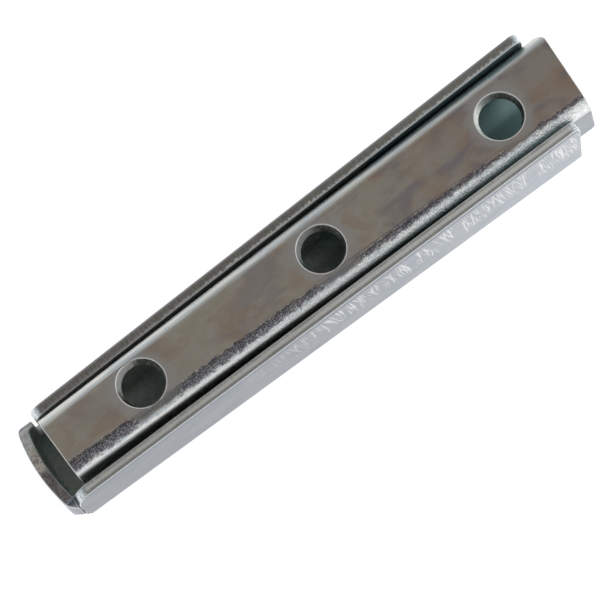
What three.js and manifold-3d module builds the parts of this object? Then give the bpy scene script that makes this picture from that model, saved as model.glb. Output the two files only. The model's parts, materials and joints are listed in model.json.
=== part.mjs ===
// A pressed-steel spreader: a tapered tray with a turned-up nose, and a three-hole channel that slides in it.
// Millimetres. +X points to the tray's open end, +Z up, and the tray's underside rests on z = 0.
import * as THREE from "three";
import { mergeVertices } from "three/addons/utils/BufferGeometryUtils.js";
import Module from "manifold-3d";

const SHEET = 2.5; // both pieces are folded from the same sheet

// Tray: a rounded-bottom trough, wider and deeper towards its open end. It is cut from its strip a little
// askew, so both ends run towards +X on the left, +Y side. Places along X are those on the centre line.
const TRAY_NOSE_X = -76.9;
const TRAY_OPEN_X = 71.05;
const TRAY_OPEN_SKEW = 0.1; // along X, per millimetre across
const TRAY_WIDTH_AT_NOSE = 24.4;
const TRAY_WIDTH_AT_OPEN = 27.9;
const TRAY_BOTTOM_RADIUS = 9;
const RIM_HEIGHT_AT_NOSE = 22.8;
const RIM_HEIGHT_AT_OPEN = 28.8;
const WALL_OPEN_CORNER_RADIUS = 2.6;

// Where each wall stops short of the nose's tongue, and how far down the slit between them is cut.
const LEFT_WALL_END = { x: -70.2, cornerRadius: 3.2, slitFloorZ: 10 };
const RIGHT_WALL_END = { x: -73.6, cornerRadius: 4.8, slitFloorZ: 4.5 };
const SLIT_FLOOR_RADIUS = 0.6;

// Nose: the floor's end turned up into a shallow arc, its lower corners clipped.
const NOSE_PLAN_RADIUS = 44;
const NOSE_PLAN_CENTRE_Y = -1.5;
const NOSE_PLAN_CORNER_RADIUS = 3.5;
const NOSE_FOLD_RADIUS = 3.4;
const NOSE_CLIP_POINT = { x: -76.2, y: 8.43, z: 3 };
const NOSE_CLIP_NORMAL = { x: 0.67, y: 1, z: 0.285 };
const TONGUE_HEIGHT = 19.5;
const TONGUE_LEFT_Y = 11.4;
const TONGUE_RIGHT_Y = -12.6; // past the tray's side, so that the side shapes it
const TONGUE_LEFT_CORNER_RADIUS = 1.2;
const TONGUE_RIGHT_CORNER_RADIUS = 4;
const TONGUE_LEFT_BACK_X = -71.1;
const TONGUE_RIGHT_BACK_X = -73.9;

// Channel: an inverted U that tapers the same way, with three punched holes in its web.
const CHANNEL_NOSE_X = -69.8;
const CHANNEL_OPEN_X = 75.97;
const CHANNEL_OPEN_SKEW = 0.1; // along X, per millimetre across
const CHANNEL_OPEN_LEAN = 1; // how much further out the flanges' feet reach than the web
const CHANNEL_OPEN_CORNER_RADIUS = 3;
const CHANNEL_WIDTH_AT_NOSE = 16.7;
const CHANNEL_WIDTH_AT_OPEN = 22.5;
const CHANNEL_TOP_Z = 28;
const CHANNEL_HEIGHT = 16;
const CHANNEL_BEND_RADIUS = 4;
const FLANGE_CORNER_RADIUS = 1.5;
const HOLE_COUNT = 3;
const HOLE_FIRST_FROM_NOSE_END = 24.2;
const HOLE_SPACING = 51.3;
const HOLE_TOP_RADIUS = 5.85;
const HOLE_BOTTOM_RADIUS = 4.95;

const ARC_STEPS = 12;
const FOLD_STEPS = 8;
const HOLE_SIDES = 64;
const REACH = 60; // long enough for a cutter to pass right through

const wasm = await Module();
wasm.setup();

// --- Booleans ---

function solid(geometry) {
  const bare = geometry.index ? geometry.toNonIndexed() : geometry.clone();
  bare.deleteAttribute("normal");
  bare.deleteAttribute("uv");
  const merged = mergeVertices(bare, 1e-4);
  return new wasm.Manifold(
    new wasm.Mesh({
      numProp: 3,
      vertProperties: new Float32Array(merged.attributes.position.array),
      triVerts: new Uint32Array(merged.index.array),
    }),
  );
}

function geometryOf(manifold) {
  const { vertProperties, triVerts } = manifold.getMesh();
  const geometry = new THREE.BufferGeometry();
  geometry.setAttribute("position", new THREE.BufferAttribute(vertProperties, 3));
  geometry.setIndex(new THREE.BufferAttribute(triVerts, 1));
  geometry.computeVertexNormals();
  return geometry;
}

// --- Outlines and prisms ---

// A closed outline through corners given as [x, y, radius]; a radius of 0 leaves the corner sharp.
function roundedOutline(corners) {
  const shape = new THREE.Shape();
  corners.forEach(([x, y, radius], i) => {
    const here = new THREE.Vector2(x, y);
    const before = new THREE.Vector2(...corners.at(i - 1)).sub(here);
    const after = new THREE.Vector2(...corners[(i + 1) % corners.length]).sub(here);
    const halfAngle = Math.abs(before.angleTo(after)) / 2;
    const setback = radius / Math.tan(halfAngle);
    const start = before.setLength(setback).add(here);
    const end = after.setLength(setback).add(here);
    const turn = new THREE.Vector2().subVectors(here, start).cross(new THREE.Vector2().subVectors(end, here));
    if (radius === 0) {
      if (i === 0) shape.moveTo(x, y);
      else shape.lineTo(x, y);
      return;
    }
    if (i === 0) shape.moveTo(start.x, start.y);
    else shape.lineTo(start.x, start.y);
    const inward = new THREE.Vector2().addVectors(start, end).multiplyScalar(0.5).sub(here);
    const centre = inward.setLength(radius / Math.sin(halfAngle)).add(here);
    const from = start.sub(centre).angle();
    const to = end.sub(centre).angle();
    shape.absarc(centre.x, centre.y, radius, from, to, turn < 0);
  });
  shape.closePath();
  return shape;
}

// An outline drawn as (x, z), seen along +Y, extruded from one Y to another. Its open end is skewed:
// it runs along X by so much per millimetre of Y.
function sidePrism(shape, fromY, toY, skewAtOpen) {
  const options = { depth: toY - fromY, bevelEnabled: false, curveSegments: ARC_STEPS };
  const geometry = new THREE.ExtrudeGeometry(shape, options);
  geometry.rotateX(Math.PI / 2);
  geometry.translate(0, toY, 0);
  const position = geometry.attributes.position;
  for (let i = 0; i < position.count; i += 1) {
    const x = position.getX(i);
    if (x > 0) position.setX(i, x + skewAtOpen * position.getY(i));
  }
  return solid(geometry);
}

// An outline drawn as (x, y), seen from above, extruded right through the part.
function planPrism(shape) {
  const options = { depth: 2 * REACH, bevelEnabled: false, curveSegments: ARC_STEPS };
  const geometry = new THREE.ExtrudeGeometry(shape, options);
  geometry.translate(0, 0, -REACH);
  return solid(geometry);
}

// A cross-section drawn as (y, z) for the width at the nose end, extruded along X and spread to the open end.
function taperedPrism(shape, noseX, openX, spreadPerMm) {
  const options = { depth: openX - noseX, bevelEnabled: false, curveSegments: ARC_STEPS };
  const geometry = new THREE.ExtrudeGeometry(shape, options);
  geometry.rotateX(Math.PI / 2);
  geometry.rotateZ(Math.PI / 2);
  geometry.translate(noseX, 0, 0);
  const position = geometry.attributes.position;
  for (let i = 0; i < position.count; i += 1) {
    const y = position.getY(i);
    const spread = (position.getX(i) - noseX) * spreadPerMm;
    position.setY(i, y + Math.sign(y) * spread);
  }
  return solid(geometry);
}

// --- Tray ---

const traySpreadPerMm = (TRAY_WIDTH_AT_OPEN - TRAY_WIDTH_AT_NOSE) / 2 / (TRAY_OPEN_X - TRAY_NOSE_X);

function trayHalfWidth(x) {
  return TRAY_WIDTH_AT_NOSE / 2 + (x - TRAY_NOSE_X) * traySpreadPerMm;
}

// The trough as a block, `inset` in from the outside: the tray's skin with 0, its hollow with the sheet.
function troughBlock(inset) {
  const half = TRAY_WIDTH_AT_NOSE / 2 - inset;
  const radius = TRAY_BOTTOM_RADIUS - inset;
  const section = roundedOutline([
    [-half, inset, radius],
    [half, inset, radius],
    [half, REACH, 0],
    [-half, REACH, 0],
  ]);
  return taperedPrism(section, TRAY_NOSE_X, TRAY_OPEN_X + SHEET + inset, traySpreadPerMm);
}

// The plan outline with the nose's arc, raised as a block whose lower edge has the fold's radius.
// Its sides flare a little past the trough's, so that they shape only the nose.
function noseBlock(inset) {
  const arcRadius = NOSE_PLAN_RADIUS - inset;
  const cornerRadius = NOSE_PLAN_CORNER_RADIUS - inset;
  const foldRadius = NOSE_FOLD_RADIUS - inset;
  const sideY = trayHalfWidth(TRAY_NOSE_X + NOSE_PLAN_CORNER_RADIUS) - inset;
  const cornerY = sideY - cornerRadius;
  const centreX = TRAY_NOSE_X + NOSE_PLAN_RADIUS;
  const centreY = NOSE_PLAN_CENTRE_Y;
  const cornerReach = arcRadius - cornerRadius;
  const leftAngle = Math.asin((cornerY - centreY) / cornerReach);
  const rightAngle = Math.asin((cornerY + centreY) / cornerReach);
  const leftX = centreX - cornerReach * Math.cos(leftAngle);
  const rightX = centreX - cornerReach * Math.cos(rightAngle);
  const endX = TRAY_OPEN_X + REACH;
  const endY = 2 * trayHalfWidth(endX);
  const plan = new THREE.Shape();
  plan.moveTo(endX, -endY);
  plan.lineTo(endX, endY);
  plan.lineTo(leftX, sideY);
  plan.absarc(leftX, cornerY, cornerRadius, Math.PI / 2, Math.PI - leftAngle, false);
  plan.absarc(centreX, centreY, arcRadius, Math.PI - leftAngle, Math.PI + rightAngle, false);
  plan.absarc(rightX, -cornerY, cornerRadius, Math.PI + rightAngle, 1.5 * Math.PI, false);
  plan.closePath();
  const options = {
    depth: REACH,
    curveSegments: ARC_STEPS,
    bevelThickness: foldRadius,
    bevelSize: foldRadius,
    bevelOffset: -foldRadius,
    bevelSegments: FOLD_STEPS,
  };
  const geometry = new THREE.ExtrudeGeometry(plan, options);
  geometry.translate(0, 0, inset + foldRadius);
  return solid(geometry);
}

// The side view of one wall, kept from fromY to toY: a sloping rim, rounded corners and the slit's floor.
function wallRegion(end, fromY, toY) {
  const outline = roundedOutline([
    [TRAY_NOSE_X - SHEET, -SHEET, 0],
    [TRAY_OPEN_X, -SHEET, 0],
    [TRAY_OPEN_X, RIM_HEIGHT_AT_OPEN, WALL_OPEN_CORNER_RADIUS],
    [end.x, RIM_HEIGHT_AT_NOSE, end.cornerRadius],
    [end.x, end.slitFloorZ, SLIT_FLOOR_RADIUS],
    [TRAY_NOSE_X - SHEET, end.slitFloorZ, 0],
  ]);
  return sidePrism(outline, fromY, toY, TRAY_OPEN_SKEW);
}

// The front view of the nose's tongue, with its rounded top corners, cut off at a slant behind.
function tongueRegion() {
  const front = roundedOutline([
    [TONGUE_RIGHT_Y, 0, 0],
    [TONGUE_LEFT_Y, 0, 0],
    [TONGUE_LEFT_Y, TONGUE_HEIGHT, TONGUE_LEFT_CORNER_RADIUS],
    [TONGUE_RIGHT_Y, TONGUE_HEIGHT, TONGUE_RIGHT_CORNER_RADIUS],
  ]);
  const plan = roundedOutline([
    [TRAY_NOSE_X - SHEET, TONGUE_RIGHT_Y, 0],
    [TONGUE_RIGHT_BACK_X, TONGUE_RIGHT_Y, 0],
    [TONGUE_LEFT_BACK_X, TONGUE_LEFT_Y, 0],
    [TRAY_NOSE_X - SHEET, TONGUE_LEFT_Y, 0],
  ]);
  return taperedPrism(front, TRAY_NOSE_X - SHEET, TONGUE_LEFT_BACK_X, 0).intersect(planPrism(plan));
}

// The block without the corner beyond the clip's plane, on the left (side 1) or the right (side -1).
function clipNose(block, side) {
  const normal = new THREE.Vector3(NOSE_CLIP_NORMAL.x, -side * NOSE_CLIP_NORMAL.y, NOSE_CLIP_NORMAL.z);
  const point = new THREE.Vector3(NOSE_CLIP_POINT.x, side * NOSE_CLIP_POINT.y, NOSE_CLIP_POINT.z);
  normal.normalize();
  return block.trimByPlane(normal.toArray(), normal.dot(point));
}

function trayGeometry() {
  const skin = clipNose(clipNose(troughBlock(0).intersect(noseBlock(0)), 1), -1);
  const hollow = troughBlock(SHEET).intersect(noseBlock(SHEET));
  const leftWall = wallRegion(LEFT_WALL_END, 0, REACH);
  const rightWall = wallRegion(RIGHT_WALL_END, -REACH, 0);
  const kept = leftWall.add(rightWall).add(tongueRegion());
  return geometryOf(skin.subtract(hollow).intersect(kept));
}

// --- Channel ---

const channelSpreadPerMm =
  (CHANNEL_WIDTH_AT_OPEN - CHANNEL_WIDTH_AT_NOSE) / 2 / (CHANNEL_OPEN_X - CHANNEL_NOSE_X);
const flangeFootZ = CHANNEL_TOP_Z - CHANNEL_HEIGHT;

// The channel as a block, `inset` in from the outside: its skin with 0, its hollow with the sheet.
function channelBlock(inset) {
  const half = CHANNEL_WIDTH_AT_NOSE / 2 - inset;
  const radius = CHANNEL_BEND_RADIUS - inset;
  const top = CHANNEL_TOP_Z - inset;
  const section = roundedOutline([
    [-half, flangeFootZ - inset, 0],
    [half, flangeFootZ - inset, 0],
    [half, top, radius],
    [-half, top, radius],
  ]);
  const openX = CHANNEL_OPEN_X + SHEET + inset;
  return taperedPrism(section, CHANNEL_NOSE_X - inset, openX, channelSpreadPerMm);
}

// The side view of the flanges, leaning out at the open end, with the corners of their feet rounded.
function flangeRegion() {
  const outline = roundedOutline([
    [CHANNEL_NOSE_X, flangeFootZ, FLANGE_CORNER_RADIUS],
    [CHANNEL_OPEN_X + CHANNEL_OPEN_LEAN, flangeFootZ, FLANGE_CORNER_RADIUS],
    [CHANNEL_OPEN_X, CHANNEL_TOP_Z, 0],
    [CHANNEL_OPEN_X, CHANNEL_TOP_Z + SHEET, 0],
    [CHANNEL_NOSE_X, CHANNEL_TOP_Z + SHEET, 0],
  ]);
  return sidePrism(outline, -REACH, REACH, CHANNEL_OPEN_SKEW);
}

// The plan of the channel, with one corner of its skewed open end rounded.
function channelPlan() {
  const half = CHANNEL_WIDTH_AT_OPEN / 2;
  const skewX = half * CHANNEL_OPEN_SKEW;
  return planPrism(
    roundedOutline([
      [CHANNEL_NOSE_X - SHEET, -half, 0],
      [CHANNEL_OPEN_X + CHANNEL_OPEN_LEAN - skewX, -half, 0],
      [CHANNEL_OPEN_X + skewX, half, CHANNEL_OPEN_CORNER_RADIUS],
      [CHANNEL_NOSE_X - SHEET, half, 0],
    ]),
  );
}

// The punch's shape: a cone through the web, narrower at its lower face.
function holeCutter(x) {
  const profile = [
    new THREE.Vector2(0, -2 * SHEET),
    new THREE.Vector2(HOLE_BOTTOM_RADIUS, -2 * SHEET),
    new THREE.Vector2(HOLE_BOTTOM_RADIUS, -SHEET),
    new THREE.Vector2(HOLE_TOP_RADIUS, 0),
    new THREE.Vector2(HOLE_TOP_RADIUS, SHEET),
    new THREE.Vector2(0, SHEET),
  ];
  const geometry = new THREE.LatheGeometry(profile, HOLE_SIDES);
  geometry.rotateX(Math.PI / 2);
  geometry.translate(x, 0, CHANNEL_TOP_Z);
  return solid(geometry);
}

function channelGeometry() {
  const folded = channelBlock(0).subtract(channelBlock(SHEET));
  let channel = folded.intersect(flangeRegion()).intersect(channelPlan());
  for (let i = 0; i < HOLE_COUNT; i += 1) {
    const x = CHANNEL_NOSE_X + HOLE_FIRST_FROM_NOSE_END + i * HOLE_SPACING;
    channel = channel.subtract(holeCutter(x));
  }
  return geometryOf(channel);
}

// --- Assembly ---

const TRAY_ZINC = { color: 0xa9adb5, roughness: 0.32, metalness: 1 };
const CHANNEL_ZINC = { color: 0x9a958c, roughness: 0.28, metalness: 1 };

function part(name, geometry, finish) {
  const mesh = new THREE.Mesh(geometry, new THREE.MeshStandardMaterial(finish));
  mesh.name = name;
  return mesh;
}

const spreader = new THREE.Group();
spreader.add(part("outer_tray", trayGeometry(), TRAY_ZINC));
spreader.add(part("inner_channel", channelGeometry(), CHANNEL_ZINC));

export default spreader;
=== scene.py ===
"""A pressed-steel spreader in bright zinc: a tapered tray and the channel that slides in it."""
import json
from math import cos, radians, sin

import bmesh
import bpy
from mathutils import Matrix, Vector


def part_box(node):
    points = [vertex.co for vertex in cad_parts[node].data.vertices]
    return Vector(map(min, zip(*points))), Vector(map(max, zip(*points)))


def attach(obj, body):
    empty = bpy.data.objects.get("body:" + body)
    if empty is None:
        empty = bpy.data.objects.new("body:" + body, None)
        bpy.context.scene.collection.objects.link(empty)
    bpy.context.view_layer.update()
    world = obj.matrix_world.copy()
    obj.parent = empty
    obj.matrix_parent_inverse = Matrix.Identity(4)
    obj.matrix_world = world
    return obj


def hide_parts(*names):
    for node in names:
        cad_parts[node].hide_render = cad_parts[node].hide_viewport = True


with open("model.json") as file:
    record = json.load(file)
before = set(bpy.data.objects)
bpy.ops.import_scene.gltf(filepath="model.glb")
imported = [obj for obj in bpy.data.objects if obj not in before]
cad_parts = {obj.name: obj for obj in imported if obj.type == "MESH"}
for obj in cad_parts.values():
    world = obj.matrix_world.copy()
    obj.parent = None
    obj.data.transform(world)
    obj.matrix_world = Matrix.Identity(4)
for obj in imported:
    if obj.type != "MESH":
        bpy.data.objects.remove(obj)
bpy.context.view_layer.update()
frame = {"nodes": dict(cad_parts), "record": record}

MM = 0.001

# --- Measures read from the frame, in millimetres ---

TRAY_LOW, TRAY_HIGH = (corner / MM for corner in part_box("outer_tray"))
CHANNEL_LOW, CHANNEL_HIGH = (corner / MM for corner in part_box("inner_channel"))
WEB_TOP = CHANNEL_HIGH.z
CHANNEL_MIDDLE = (CHANNEL_LOW.x + CHANNEL_HIGH.x) / 2
HOLES = [
    sum(corner[0] for corner in opening["box_m"]) / 2 / MM
    for opening in frame["record"]["physics"]["openings"]
    if opening["name"].startswith("hole_")
]

# --- Camera: millimetres and degrees ---

LENS = 180
SENSOR = 36
NEAR_CLIP = 10
CAMERA_AZIMUTH = 255.96
CAMERA_ELEVATION = 73.22
CAMERA_ROLL = -23.24
CAMERA_DISTANCE = 683.9
AIM = Vector((CHANNEL_MIDDLE - 8.9, -6.75, WEB_TOP))


def direction(azimuth, elevation):
    """A unit vector by compass angle from +X and height above the horizon, in degrees."""
    a = radians(azimuth)
    e = radians(elevation)
    return Vector((cos(e) * cos(a), cos(e) * sin(a), sin(e)))


def look(obj, place, target, roll=0.0):
    """Puts obj at place, its -Z axis towards target, turned about that axis by roll degrees."""
    obj.location = place * MM
    turn = (target - place).to_track_quat("-Z", "Y").to_matrix()
    obj.rotation_euler = (turn @ Matrix.Rotation(radians(roll), 3, "Z")).to_euler()


def add_camera():
    data = bpy.data.cameras.new("photo_camera")
    data.lens = LENS
    data.sensor_width = SENSOR
    data.clip_start = NEAR_CLIP * MM
    camera = bpy.data.objects.new("photo_camera", data)
    place = AIM + CAMERA_DISTANCE * direction(CAMERA_AZIMUTH, CAMERA_ELEVATION)
    look(camera, place, AIM, CAMERA_ROLL)
    bpy.context.scene.collection.objects.link(camera)
    bpy.context.scene.camera = camera


# --- Nodes ---

class Nodes:
    """Short calls that add nodes to a tree and return the output socket."""

    def __init__(self, tree):
        self.tree = tree

    def add(self, kind, inputs=(), **settings):
        node = self.tree.nodes.new(kind)
        for name, value in settings.items():
            setattr(node, name, value)
        for key, value in dict(inputs).items():
            self.feed(node.inputs[key], value)
        return node

    def feed(self, socket, value):
        if isinstance(value, bpy.types.NodeSocket):
            self.tree.links.new(value, socket)
        elif socket.type == "RGBA" and len(value) == 3:
            socket.default_value = (*value, 1)
        else:
            socket.default_value = value

    def math(self, operation, *values):
        inputs = dict(enumerate(values))
        return self.add("ShaderNodeMath", inputs, operation=operation).outputs[0]

    def vector(self, operation, *values):
        inputs = dict(enumerate(values))
        return self.add("ShaderNodeVectorMath", inputs, operation=operation).outputs[0]

    def dot(self, a, b):
        node = self.add("ShaderNodeVectorMath", {0: a, 1: b}, operation="DOT_PRODUCT")
        return node.outputs["Value"]

    def length(self, vector):
        node = self.add("ShaderNodeVectorMath", {0: vector}, operation="LENGTH")
        return node.outputs["Value"]

    def split(self, vector):
        return self.add("ShaderNodeSeparateXYZ", {0: vector}).outputs

    def join(self, x, y, z):
        return self.add("ShaderNodeCombineXYZ", {0: x, 1: y, 2: z}).outputs[0]

    def step(self, value, low, high, start=0.0, end=1.0):
        """A smooth step from start, where value is low, to end, where it is high."""
        inputs = {"Value": value, "From Min": low, "From Max": high,
                  "To Min": start, "To Max": end}
        node = self.add("ShaderNodeMapRange", inputs, interpolation_type="SMOOTHSTEP")
        return node.outputs["Result"]

    def band(self, value, low, high, soft):
        """1 where value is between low and high, falling to 0 over soft outside them."""
        rise = self.step(value, low - soft, low)
        fall = self.step(value, high, high + soft, 1.0, 0.0)
        return self.product(rise, fall)

    def noise(self, vector, scale, detail, roughness, distortion=0.0):
        inputs = {"Vector": vector, "Scale": scale, "Detail": detail,
                  "Roughness": roughness, "Distortion": distortion}
        return self.add("ShaderNodeTexNoise", inputs).outputs["Fac"]

    def scaled(self, vector, x, y, z):
        return self.vector("MULTIPLY", vector, (x, y, z))

    def mix(self, factor, a, b):
        node = self.add("ShaderNodeMix", data_type="RGBA")
        self.feed(node.inputs["Factor"], factor)
        self.feed(node.inputs[6], a)
        self.feed(node.inputs[7], b)
        return node.outputs[2]

    def blend(self, factor, a, b):
        """A number from a, where factor is 0, to b, where it is 1."""
        inputs = {"Value": factor, "To Min": a, "To Max": b}
        return self.add("ShaderNodeMapRange", inputs).outputs["Result"]

    def plus(self, a, b):
        return self.math("ADD", a, b)

    def minus(self, a, b):
        return self.math("SUBTRACT", a, b)

    def larger(self, a, b):
        return self.math("MAXIMUM", a, b)

    def product(self, *values):
        result = values[0]
        for value in values[1:]:
            result = self.math("MULTIPLY", result, value)
        return result

    def bump(self, height, distance, normal=None):
        """distance is the height of the relief in millimetres."""
        inputs = {"Height": height, "Distance": distance * MM, "Strength": 1.0}
        node = self.add("ShaderNodeBump", inputs)
        if normal is not None:
            self.feed(node.inputs["Normal"], normal)
        return node.outputs[0]


# --- Studio ---

TENT_LOW = (0.70, 0.73, 0.75)      # the tent's lit sides
TENT_HIGH = (0.295, 0.285, 0.275)  # its dimmer top
TENT_EDGES = (0.30, 0.72)          # sine of the elevation where the sides end and the top starts
HOOD_DIRECTION = direction(264, 54)
HOOD_COLOUR = (0.06, 0.06, 0.07)
HOOD_EDGES = (0.82, 0.91)          # cosine of the angle from the hood's middle
HOOD_END = (0.02, 0.12)            # how far towards +X the hood reaches
FLOOR_HALF = 2.0                   # metres
FLOOR_PAINT = (0.9, 0.9, 0.9, 1)
FLOOR_ROUGHNESS = 0.8
FLOOR_GLOW = 0.74


def add_world():
    world = bpy.data.worlds.new("light_tent")
    world.use_nodes = True
    n = Nodes(world.node_tree)
    way = n.add("ShaderNodeTexCoord").outputs["Generated"]
    height = n.split(way)[2]
    tent = n.mix(n.step(height, *TENT_EDGES), TENT_LOW, TENT_HIGH)
    hood = n.step(n.dot(way, HOOD_DIRECTION), *HOOD_EDGES)
    hood = n.product(hood, n.step(n.split(way)[0], *HOOD_END, 1.0, 0.0))
    background = world.node_tree.nodes["Background"]
    n.feed(background.inputs["Color"], n.mix(hood, tent, HOOD_COLOUR))
    bpy.context.scene.world = world
    bpy.context.scene.view_settings.view_transform = "Standard"


def add_light(name, azimuth, elevation, distance, size, power, colour):
    """A soft rectangular light aimed at the part's middle, the camera not seeing it."""
    data = bpy.data.lights.new(name, "AREA")
    data.shape = "RECTANGLE"
    data.size, data.size_y = (length * MM for length in size)
    data.energy = power
    data.color = colour
    light = bpy.data.objects.new(name, data)
    light.visible_camera = False
    target = Vector((0, 0, WEB_TOP / 2))
    look(light, target + distance * direction(azimuth, elevation), target)
    bpy.context.scene.collection.objects.link(light)


def add_floor():
    mesh = bpy.data.meshes.new("floor")
    sides = ((-1, -1), (1, -1), (1, 1), (-1, 1))
    corners = [(x * FLOOR_HALF, y * FLOOR_HALF, 0) for x, y in sides]
    mesh.from_pydata(corners, [], [(0, 1, 2, 3)])
    floor = bpy.data.objects.new("floor", mesh)
    paint = bpy.data.materials.new("floor_white")
    paint.use_nodes = True
    shader = paint.node_tree.nodes["Principled BSDF"]
    shader.inputs["Base Color"].default_value = FLOOR_PAINT
    shader.inputs["Roughness"].default_value = FLOOR_ROUGHNESS
    shader.inputs["Specular IOR Level"].default_value = 0.0
    shader.inputs["Emission Color"].default_value = (1, 1, 1, 1)
    shader.inputs["Emission Strength"].default_value = FLOOR_GLOW
    mesh.materials.append(paint)
    bpy.context.scene.collection.objects.link(floor)


# --- Finishes: measures in millimetres ---

SHEET = 2.5
WALL = next(mount for mount in frame["record"]["mounts"] if mount["name"] == "wall_left")
WALL_Y = WALL["pos_m"][1] / MM                    # the left wall's outer face at x = 0,
WALL_SPREAD = -WALL["axis"][0] / WALL["axis"][1]  # and how fast it spreads towards +X
RIM_MIDDLE = 25.8                                 # the rims' height at x = 0,
RIM_SLOPE = 0.0423                                # and how fast they rise towards +X
HOLE_RADIUS = 5.9

WORN_AND_LIT_METALLIC = 0.35    # how metallic the rubbed edges and the painted highlights are left

# Each TONES is a pair: where the clouds are dark, and where they are light.
WEB_TONES = (0.60, 0.565, 0.475), (0.67, 0.665, 0.605)
WEB_OPEN_END = (0.50, 0.455, 0.43)
WEB_WARM = (0.54, 0.415, 0.325)
WEB_VIOLET = (0.40, 0.365, 0.39)
WEB_ROUND_HOLES = (0.61, 0.61, 0.60)
BEND_TONES = (0.56, 0.60, 0.62), (0.74, 0.73, 0.68)
# painted shade on the flanges
FLANGE_END_SHADE = (0.26, 0.28, 0.31)
# painted dark reflection along the lower bend
DARK_BAND_REFLECTION = (0.11, 0.10, 0.125)
# painted glints on the spangle crystals
SPANGLE_GLINT = (0.98, 0.99, 1.0)
HOLE_WALL_TONES = (0.52, 0.52, 0.49), (0.74, 0.73, 0.69)
# painted highlight on the holes' walls
HOLE_WALL_HIGHLIGHT = (1.0, 0.99, 0.95)
CHANNEL_INSIDE_TONES = (0.62, 0.67, 0.65), (0.78, 0.80, 0.76)
CHANNEL_INSIDE_FAR = (0.30, 0.40, 0.40)
# rounded edges: rubbed bare, and painted bright as highlights
CHANNEL_EDGES = (0.97, 0.96, 0.93)
FLANGE_END_X = (55.0, 66.0)     # where the painted shade on the flanges sets in, towards the open end
DARK_BAND_TURN = (0.66, 0.27)   # how far round the bend the dark band goes, nose end and open end
CALM_ROUND_HOLES = (2.0, 3.6)   # past the holes' edges, where the dark band goes from faint to full

# the walls' nose half, darkened as painted shade
WALL_NOSE_SHADED_TONES = (0.255, 0.275, 0.305), (0.29, 0.305, 0.33)
WALL_OPEN_TONES = (0.375, 0.397, 0.435), (0.425, 0.446, 0.475)
STREAK_BLUE = (0.33, 0.36, 0.42)
STREAK_PALE = (0.52, 0.53, 0.52)
# painted shadow under the rim
UNDER_RIM_SHADOW = (0.21, 0.235, 0.275)
SCUFF = (0.78, 0.78, 0.76)
# end faces and their corners, painted bright as a highlight
END_FACE_LIT_TONES = (0.42, 0.47, 0.49), (0.86, 0.91, 0.93)
LEFT_RIM_TONES = (0.25, 0.235, 0.215), (0.43, 0.42, 0.395)
LEFT_RIM_OPEN_END = (0.42, 0.42, 0.39)
LEFT_RIM_BURR = (0.86, 0.88, 0.85)
LEFT_RIM_OUTER = (0.60, 0.62, 0.63)
# the right rim's beige, painted light for a top that catches the side light
RIGHT_RIM_LIT_TONES = (0.62, 0.615, 0.58), (0.80, 0.80, 0.77)
RIGHT_RIM_STAIN = (0.46, 0.44, 0.41)
RIGHT_RIM_PALE_LINE = (0.96, 0.96, 0.93)
RIGHT_RIM_DARK_LINE = (0.42, 0.42, 0.41)
TONGUE_RIGHT = (0.40, 0.375, 0.36)
TONGUE_MIDDLE = (0.88, 0.84, 0.76)
# painted highlight on the tongue's left end
TONGUE_LEFT_HIGHLIGHT = (0.97, 0.99, 1.0)
TONGUE_MOTTLE = (0.20, 0.185, 0.185)
TRAY_INSIDE_TONES = (0.62, 0.69, 0.67), (0.80, 0.85, 0.81)
TRAY_INSIDE_FAR = (0.31, 0.42, 0.42)
# rounded edges: rubbed bare, and painted bright as highlights
TRAY_EDGES = (0.80, 0.83, 0.84)
RIMS_ABOVE_Z = (17.0, 18.0)
FLOOR_BELOW_Z = (12.0, 14.0)
WALL_ENDS_ABOVE_Z = (20.0, 21.0)   # on the nose half, where the wall ends stand clear of the tongue
TONGUE_DEPTH = (6.2, 6.8)          # from the tray's nose end
NOSE_DEPTH = (8.0, 9.0)
LIT_FLOOR_DEPTH = (9.0, 20.0)
TONGUE_LEFT_Y = (4.5, 6.5)         # where the tongue turns brightest
SCUFFS_X = (-30.0, 5.0)            # where the scuffs set in, towards the open end
SCUFFS_LOWEST_Z = (9.0, 19.0)
SCUFF_STROKES = ((0.30, 2.6, 0.0), (0.10, 2.2, 9.0))  # lean, strokes per mm, place in the noise


def metal(name):
    """A metal material and what its recipe needs.

    After the material come its nodes, its shader, the place on the part in millimetres,
    that place's three coordinates, and the surface normal's three.
    """
    material = bpy.data.materials.new(name)
    material.use_nodes = True
    n = Nodes(material.node_tree)
    shader = material.node_tree.nodes["Principled BSDF"]
    shader.inputs["Metallic"].default_value = 1.0
    coordinates = n.add("ShaderNodeTexCoord").outputs
    place = n.scaled(coordinates["Object"], 1 / MM, 1 / MM, 1 / MM)
    return material, n, shader, place, n.split(place), n.split(coordinates["Normal"])


def rounded_edges(n):
    """1 on the faces that round the sheet's edges over, 0 elsewhere."""
    return n.add("ShaderNodeAttribute", attribute_name="edge").outputs["Fac"]


def edges_and_highlights(n, shader, colour, edge_colour, lit_places):
    """The colour with bright rounded edges, rubbed bare and painted as highlights. They, and the
    painted-lit places passed in, scatter light too.
    """
    edge = rounded_edges(n)
    n.feed(shader.inputs["Base Color"], n.mix(edge, colour, edge_colour))
    n.feed(shader.inputs["Metallic"], n.blend(n.larger(edge, lit_places), 1.0, WORN_AND_LIT_METALLIC))


def from_hole(n, x, y):
    """The distance from the nearest hole's axis."""
    nearest = None
    for hole in HOLES:
        distance = n.length(n.join(n.minus(x, hole), y, 0.0))
        nearest = distance if nearest is None else n.math("MINIMUM", nearest, distance)
    return nearest


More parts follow.
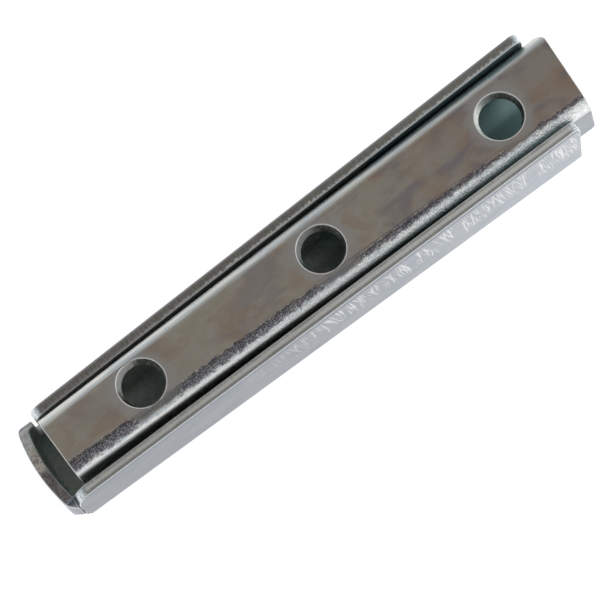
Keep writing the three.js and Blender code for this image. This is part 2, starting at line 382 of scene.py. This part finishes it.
def web_colour(n, place, along, hole_distance, cloud):
    """Grey-brown with soft iridescent clouds, drawn out along the sheet's rolling direction."""
    warm = n.noise(place, 0.13, 4, 0.55, 0.6)
    violet = n.noise(n.vector("ADD", place, (31.0, 7.0, 0.0)), 0.14, 4, 0.55, 0.4)
    web = n.mix(n.step(cloud, 0.34, 0.62), *WEB_TONES)
    web = n.mix(n.step(along, 0.55, 1.0, 0.0, 0.55), web, WEB_OPEN_END)
    warmth = n.product(n.step(warm, 0.42, 0.66), n.blend(along, 0.75, 0.95))
    web = n.mix(warmth, web, WEB_WARM)
    bruise = n.product(n.step(violet, 0.46, 0.62), n.blend(along, 0.25, 0.95))
    web = n.mix(bruise, web, WEB_VIOLET)
    halo = n.plus(hole_distance, n.blend(cloud, -2.6, 2.6))
    return n.mix(n.step(halo, 6.6, 9.4, 0.85, 0.0), web, WEB_ROUND_HOLES)


def channel_zinc():
    material, n, shader, place, (x, y, z), (nx, ny, nz) = metal("channel_plating")

    # Where: the web's top, the lower bend, the punched holes and the hidden inner faces.
    top = n.step(nz, 0.93, 0.995)
    lower_turn = n.product(ny, -1.0)
    hole_distance = from_hole(n, x, y)
    in_hole = n.product(n.step(hole_distance, HOLE_RADIUS, HOLE_RADIUS + 0.3, 1.0, 0.0),
                        n.step(z, WEB_TOP - SHEET - 0.2, WEB_TOP - SHEET))
    outward = n.plus(n.product(ny, n.math("SIGN", y)), nz)
    inner = n.product(n.step(outward, -0.3, -0.1, 1.0, 0.0), n.minus(1.0, in_hole))
    along = n.step(x, CHANNEL_LOW.x, CHANNEL_HIGH.x)

    # The bends: bluish zinc, with painted shade on the flanges where they stand clear of the tray.
    long_place = n.scaled(place, 0.6, 1.0, 1.0)
    cloud = n.noise(long_place, 0.13, 3, 0.55, 0.8)
    grain = n.noise(place, 2.6, 3, 0.7)
    mottle = n.noise(long_place, 0.9, 5, 0.72)
    cream = n.noise(n.scaled(place, 0.10, 1.4, 1.4), 1.0, 3, 0.6)
    bends = n.mix(n.step(cream, 0.38, 0.62), *BEND_TONES)
    flange_end_shade = n.product(n.step(nz, 0.1, 0.4, 1.0, 0.0), n.step(x, *FLANGE_END_X))
    bends = n.mix(flange_end_shade, bends, FLANGE_END_SHADE)
    colour = n.mix(top, bends, web_colour(n, long_place, along, hole_distance, cloud))

    # Along the lower bend, a painted dark reflection in a band mottled by the crystals, and spangle
    # crystals painted white as glints outside it.
    calm = n.step(hole_distance, *(HOLE_RADIUS + past for past in CALM_ROUND_HOLES))
    turn = n.plus(lower_turn, n.blend(mottle, -0.34, 0.34))
    past_dark = n.minus(turn, n.blend(along, *DARK_BAND_TURN))
    dark_reflection = n.product(n.step(turn, 0.02, 0.14), n.step(past_dark, 0.0, 0.14, 1.0, 0.0))
    dark_reflection = n.product(dark_reflection, n.step(nz, 0.3, 0.6), n.step(lower_turn, 0.0, 0.03),
                     n.blend(calm, 0.25, 1.0))
    dark_grain = n.step(grain, 0.42, 0.68, 1.0, 0.35)
    colour = n.mix(n.product(dark_reflection, dark_grain), colour, DARK_BAND_REFLECTION)
    # Spangle crystals painted near white as glints, stronger towards the open end.
    spangle_glints = n.product(n.step(past_dark, 0.0, 0.2), n.step(lower_turn, 0.1, 0.2),
                        n.step(nz, 0.2, 0.5), n.blend(along, 0.4, 1.0))
    colour = n.mix(n.product(spangle_glints, n.step(grain, 0.45, 0.56)), colour, SPANGLE_GLINT)

    # The holes' walls, dragged by the punch, with a painted highlight on the side away from the
    # lower bend.
    drag = n.noise(n.scaled(place, 1.4, 1.4, 0.3), 1.0, 2, 0.5)
    facing = n.minus(n.product(nx, 0.5), n.product(ny, 0.87))
    hole_highlight = n.step(n.plus(facing, n.blend(drag, -0.3, 0.3)), 0.40, 0.85)
    hole_highlight = n.product(hole_highlight, in_hole, n.blend(along, 1.0, 0.35))
    hole_wall = n.mix(n.step(drag, 0.40, 0.62), *HOLE_WALL_TONES)
    hole_wall = n.mix(hole_highlight, hole_wall, HOLE_WALL_HIGHLIGHT)
    colour = n.mix(in_hole, colour, hole_wall)

    hidden = n.mix(n.step(mottle, 0.4, 0.65), *CHANNEL_INSIDE_TONES)
    hidden = n.mix(n.step(along, 0.5, 0.85), hidden, CHANNEL_INSIDE_FAR)
    colour = n.mix(inner, colour, hidden)
    edges_and_highlights(n, shader, colour, CHANNEL_EDGES, n.product(hole_highlight, 0.8))

    rough = n.blend(cloud, 0.24, 0.32)
    rough = n.plus(rough, n.product(n.larger(spangle_glints, dark_reflection), 0.08))
    upper_bend = n.step(n.larger(ny, 0.0), 0.08, 0.4)
    rough = n.plus(rough, n.product(upper_bend, 0.12))
    rough = n.blend(in_hole, rough, 0.34)
    n.feed(shader.inputs["Roughness"], n.blend(inner, rough, 0.45))

    # Relief: waviness, the holes' drawn-in edges, drawn lines, fine unevenness and coarse crystals.
    sparkle = n.product(grain, n.larger(spangle_glints, n.product(dark_reflection, 0.9)))
    draw = n.step(hole_distance, HOLE_RADIUS, HOLE_RADIUS + 3.0)
    relief = n.bump(n.noise(place, 0.10, 2, 0.4), 0.30)
    relief = n.bump(draw, 0.10, normal=relief)
    relief = n.bump(cream, 0.05, normal=relief)
    relief = n.bump(n.noise(place, 1.5, 2, 0.5), 0.004, normal=relief)
    relief = n.bump(sparkle, 0.20, normal=relief)
    n.feed(shader.inputs["Normal"], relief)
    return material


def wall_colour(n, place, along, below_rim):
    """Pale bluish zinc with faint clouds, drawn streaks, painted shade towards the nose end and a
    painted shadow line under the rim.
    """
    cloud = n.noise(n.scaled(place, 0.4, 1.0, 1.0), 0.25, 3, 0.55)
    streak = n.noise(n.scaled(place, 0.05, 1.0, 1.2), 1.4, 3, 0.6)
    light = n.step(cloud, 0.35, 0.65)
    shaded_nose_half = n.mix(light, *WALL_NOSE_SHADED_TONES)
    open_half = n.mix(light, *WALL_OPEN_TONES)
    # Painted shade: the walls darken towards the nose end.
    wall = n.mix(n.math("POWER", along, 2.2), shaded_nose_half, open_half)
    wall = n.mix(n.step(streak, 0.5, 0.75, 0.0, 0.45), wall, STREAK_BLUE)
    wall = n.mix(n.step(streak, 0.2, 0.42, 0.35, 0.0), wall, STREAK_PALE)
    # A painted shadow line under the rim.
    return n.mix(n.band(below_rim, 0.5, 1.3, 0.7), wall, UNDER_RIM_SHADOW)


def wall_scuffs(n, place, x, z, below_rim):
    """Clusters of slanting strokes down the walls, on the open end's half."""
    sway = n.noise(n.scaled(place, 0.3, 0.3, 0.14), 1.0, 2, 0.5)
    sway_x = n.plus(x, n.blend(sway, -0.8, 0.8))
    strokes = None
    for lean, spacing, start in SCUFF_STROKES:
        stroke_x = n.product(n.plus(sway_x, n.product(z, lean)), spacing)
        stroke = n.noise(n.join(stroke_x, n.product(z, 0.07), start), 1.0, 1, 0.5)
        stroke = n.step(stroke, 0.57, 0.65)
        strokes = stroke if strokes is None else n.larger(strokes, stroke)
    cluster = n.step(n.noise(n.join(n.product(x, 0.19), 0.0, 0.0), 1.0, 1, 0.5), 0.38, 0.46)
    reach = n.noise(n.join(n.product(x, 1.3), 7.0, 0.0), 1.0, 1, 0.5)
    reach = n.blend(reach, *SCUFFS_LOWEST_Z)
    tall = n.product(n.step(n.minus(z, reach), 0.0, 1.5), n.step(below_rim, 1.0, 4.0))
    return n.product(strokes, cluster, tall, n.step(x, *SCUFFS_X))


def tongue_colour(n, y, blotch):
    """The nose tongue's sheared top: brown on the right, beige in the middle, and a painted white
    highlight on the left.
    """
    tongue = n.mix(n.step(y, -2.0, 0.5), TONGUE_RIGHT, TONGUE_MIDDLE)
    tongue = n.mix(n.step(y, *TONGUE_LEFT_Y), tongue, TONGUE_LEFT_HIGHLIGHT)
    mottled = n.product(n.step(blotch, 0.42, 0.58, 1.0, 0.0), n.step(y, -1.0, 6.0, 0.8, 0.35))
    return n.mix(mottled, tongue, TONGUE_MOTTLE)


def tray_zinc():
    material, n, shader, place, (x, y, z), (nx, ny, nz) = metal("tray_plating")

    def by_nose(depth, value=1.0):
        """value up to the first depth from the tray's nose end, fading to 0 at the second."""
        full, none = depth
        return n.step(x, TRAY_LOW.x + full, TRAY_LOW.x + none, value, 0.0)

    # Where: the sheared top edges, the tongue's among them, and the hidden inner faces.
    edge_top = n.product(n.step(nz, 0.93, 0.985), n.step(z, *RIMS_ABOVE_Z))
    left = n.step(y, -0.5, 0.5)
    on_tongue = n.product(edge_top, by_nose(TONGUE_DEPTH))
    inner_wall = n.step(n.product(ny, n.math("SIGN", y)), -0.6, -0.4, 1.0, 0.0)
    inner_floor = n.product(n.step(nz, 0.3, 0.5), n.step(z, *FLOOR_BELOW_Z, 1.0, 0.0))
    inner_nose = n.product(n.step(nx, 0.3, 0.5), by_nose(NOSE_DEPTH))
    inner = n.larger(inner_wall, n.larger(inner_floor, inner_nose))
    along = n.step(x, TRAY_LOW.x, TRAY_HIGH.x)

    # Distances down from the rim and out from the wall's inner face.
    below_rim = n.minus(n.plus(n.product(x, RIM_SLOPE), RIM_MIDDLE), z)
    inner_face = n.plus(n.product(x, WALL_SPREAD), WALL_Y - SHEET)
    from_inside = n.minus(n.math("ABSOLUTE", y), inner_face)

    scuffs = wall_scuffs(n, place, x, z, below_rim)
    wall = wall_colour(n, place, along, below_rim)
    wall = n.mix(n.product(scuffs, 0.75), wall, SCUFF)

    # End faces and the corners that turn down to them: bare metal, painted bright as a highlight.
    bare_and_lit = n.larger(n.step(x, 0.0, 1.0), n.step(z, *WALL_ENDS_ABOVE_Z))
    lit_ends = n.product(n.step(n.math("ABSOLUTE", nx), 0.2, 0.45), bare_and_lit)
    speckle = n.noise(place, 1.6, 4, 0.7)
    wall = n.mix(lit_ends, wall, n.mix(n.step(speckle, 0.35, 0.6), *END_FACE_LIT_TONES))

    # The sheared rims, hatched across by the shear: dark on the left, and on the right a beige
    # painted light, standing in for a top that catches the side light.
    hatch = n.noise(n.scaled(place, 3.4, 0.35, 0.35), 1.0, 3, 0.7)
    shade = n.noise(n.scaled(place, 0.25, 1.0, 1.0), 0.5, 3, 0.6)
    rim_left = n.mix(n.step(hatch, 0.35, 0.68), *LEFT_RIM_TONES)
    rim_left = n.mix(n.step(along, 0.5, 0.95, 0.0, 0.5), rim_left, LEFT_RIM_OPEN_END)
    rim_right = n.mix(n.step(hatch, 0.40, 0.65), *RIGHT_RIM_LIT_TONES)
    rim_right = n.mix(n.step(shade, 0.50, 0.66, 0.0, 0.6), rim_right, RIGHT_RIM_STAIN)
    pale_line = n.product(n.band(from_inside, 1.0, 1.35, 0.4), 0.8)
    rim_right = n.mix(pale_line, rim_right, RIGHT_RIM_PALE_LINE)
    dark_line = n.product(n.band(from_inside, 1.9, 2.1, 0.25), 0.8)
    rim_right = n.mix(dark_line, rim_right, RIGHT_RIM_DARK_LINE)
    rim = n.mix(left, rim_right, rim_left)

    # On the left rim, a ragged burr along the inside and a paler line along the outside.
    ragged = n.noise(n.scaled(place, 1.6, 0.6, 0.6), 1.0, 4, 0.75)
    burr = n.step(n.minus(from_inside, n.blend(ragged, -1.1, 2.0)), 0.0, 0.12, 1.0, 0.0)
    burr = n.product(burr, left, edge_top, n.step(x, -60.0, 0.0, 0.25, 1.0))
    rim = n.mix(burr, rim, LEFT_RIM_BURR)
    outer_line = n.product(n.step(from_inside, SHEET - 0.75, SHEET - 0.35), left, 0.8)
    rim = n.mix(outer_line, rim, LEFT_RIM_OUTER)

    blotch = n.noise(place, 0.9, 4, 0.7)
    rim = n.mix(on_tongue, rim, tongue_colour(n, y, blotch))

    hidden = n.mix(n.step(blotch, 0.35, 0.7), *TRAY_INSIDE_TONES)
    hidden = n.mix(n.step(along, 0.5, 0.85), hidden, TRAY_INSIDE_FAR)
    colour = n.mix(inner, wall, hidden)
    colour = n.mix(edge_top, colour, rim)
    lit_floor = n.product(inner_floor, by_nose(LIT_FLOOR_DEPTH, 0.8))
    lit_tongue = n.product(on_tongue, n.step(y, *TONGUE_LEFT_Y, 0.0, 0.6))
    edges_and_highlights(n, shader, colour, TRAY_EDGES, n.larger(lit_floor, lit_tongue))

    rough = n.blend(edge_top, n.blend(inner, 0.36, 0.48), n.blend(left, 0.62, 0.40))
    n.feed(shader.inputs["Roughness"], rough)

    # Relief: waviness, fine unevenness, the shear's hatching, and the scuffs and the burr.
    relief = n.bump(n.noise(place, 0.12, 2, 0.4), 0.20)
    relief = n.bump(n.noise(place, 0.9, 3, 0.5), 0.012, normal=relief)
    relief = n.bump(n.product(hatch, edge_top), 0.06, normal=relief)
    relief = n.bump(n.plus(scuffs, burr), 0.06, normal=relief)
    n.feed(shader.inputs["Normal"], relief)
    return material


# --- Sheet steel pieces ---

EDGE_RADIUS = 0.2 * MM
EDGE_STEPS = 3
SHARP_ANGLE = radians(34)
FLAT_ANGLE = radians(0.6)
MERGE_DISTANCE = 0.002 * MM
MERGE_DISTANCE_ROUNDED = 0.0002 * MM


def round_over(bm):
    """Rounds the sharp edges over, and marks the new faces in the layer called edge."""
    edge = bm.faces.layers.float.new("edge")
    bmesh.ops.remove_doubles(bm, verts=bm.verts, dist=MERGE_DISTANCE)
    bmesh.ops.dissolve_limit(bm, angle_limit=FLAT_ANGLE, verts=bm.verts, edges=bm.edges)
    sharp = [e for e in bm.edges if len(e.link_faces) == 2 and e.calc_face_angle() > SHARP_ANGLE]
    rounded = bmesh.ops.bevel(bm, geom=sharp, offset=EDGE_RADIUS, offset_type="OFFSET",
                              segments=EDGE_STEPS, profile=0.5, affect="EDGES",
                              clamp_overlap=False)
    for face in rounded["faces"]:
        face[edge] = 1.0
    for face in bm.faces:
        face.smooth = True
    many_sided = [face for face in bm.faces if len(face.verts) > 4]
    bmesh.ops.triangulate(bm, faces=many_sided, quad_method="BEAUTY", ngon_method="BEAUTY")
    bmesh.ops.remove_doubles(bm, verts=bm.verts, dist=MERGE_DISTANCE_ROUNDED)


def sheet_piece(node, name, body, material):
    """The node's shape with its sheared edges rounded over."""
    bm = bmesh.new()
    bm.from_mesh(frame["nodes"][node].data)
    round_over(bm)
    mesh = bpy.data.meshes.new(name)
    bm.to_mesh(mesh)
    bm.free()
    mesh.materials.append(material)
    piece = bpy.data.objects.new(name, mesh)
    bpy.context.scene.collection.objects.link(piece)
    weights = piece.modifiers.new("flat_faces_stay_flat", "WEIGHTED_NORMAL")
    weights.keep_sharp = True
    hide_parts(node)
    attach(piece, body)


add_camera()
add_world()
add_light("key_open_end", azimuth=318, elevation=34, distance=420, size=(240, 160),
          power=0.35, colour=(0.95, 0.98, 1.0))
add_floor()
sheet_piece("outer_tray", "tray_steel", "tray", tray_zinc())
sheet_piece("inner_channel", "channel_steel", "channel", channel_zinc())
